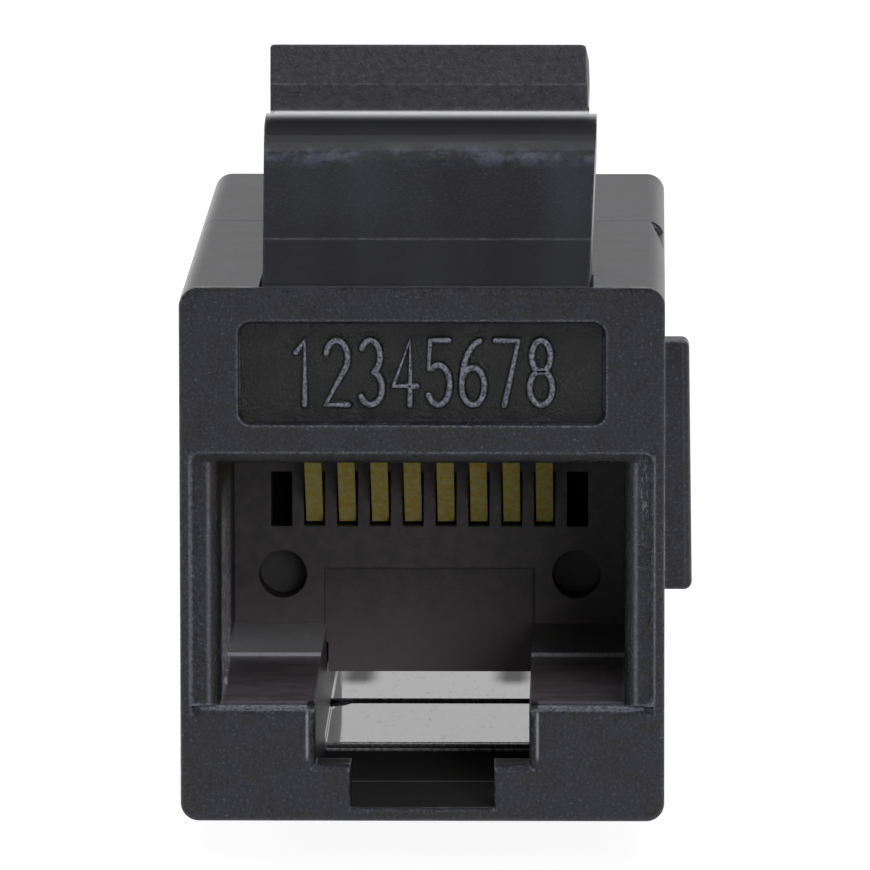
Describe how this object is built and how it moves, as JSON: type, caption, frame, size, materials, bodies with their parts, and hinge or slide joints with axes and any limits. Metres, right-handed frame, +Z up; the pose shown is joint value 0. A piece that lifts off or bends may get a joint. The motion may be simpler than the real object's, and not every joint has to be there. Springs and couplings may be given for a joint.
{
  "type": "keystone coupler jack",
  "caption": "Keystone coupler jack with a modular socket at each end, spring contacts, a board between them and a panel latch that presses down.",
  "frame": {"origin": "under the middle of the housing, level with the foot of the lug", "axes": "+Z up, +Y from the front socket to the rear socket, X across"},
  "size_m": [0.0164, 0.03, 0.0239],
  "materials": {
    "housing_plastic": "finely textured, moulded",
    "latch_plastic": "satin, moulded",
    "carrier_plastic": "matt, moulded",
    "board_laminate": "solder mask",
    "gold_plating": "gold plated spring strip"
  },
  "bodies": {
    "housing": {"front_shell": "housing_plastic", "rear_shell": "housing_plastic", "front_contact_carrier": "carrier_plastic", "rear_contact_carrier": "carrier_plastic", "circuit_board": "board_laminate", "front_contact_1": "gold_plating", "front_contact_2": "gold_plating", "front_contact_3": "gold_plating", "front_contact_4": "gold_plating", "front_contact_5": "gold_plating", "front_contact_6": "gold_plating", "front_contact_7": "gold_plating", "front_contact_8": "gold_plating", "rear_contact_1": "gold_plating", "rear_contact_2": "gold_plating", "rear_contact_3": "gold_plating", "rear_contact_4": "gold_plating", "rear_contact_5": "gold_plating", "rear_contact_6": "gold_plating", "rear_contact_7": "gold_plating", "rear_contact_8": "gold_plating"},
    "latch": {"panel_latch": "latch_plastic"}
  },
  "joints": [
    {"name": "latch_flex", "type": "hinge", "parent": "housing", "child": "latch", "pos_m": [0, -0.0142, 0.01725], "axis": [1, 0, 0], "range_deg": [-8, 0], "stiffness_Nm_per_rad": 0.5}
  ]
}
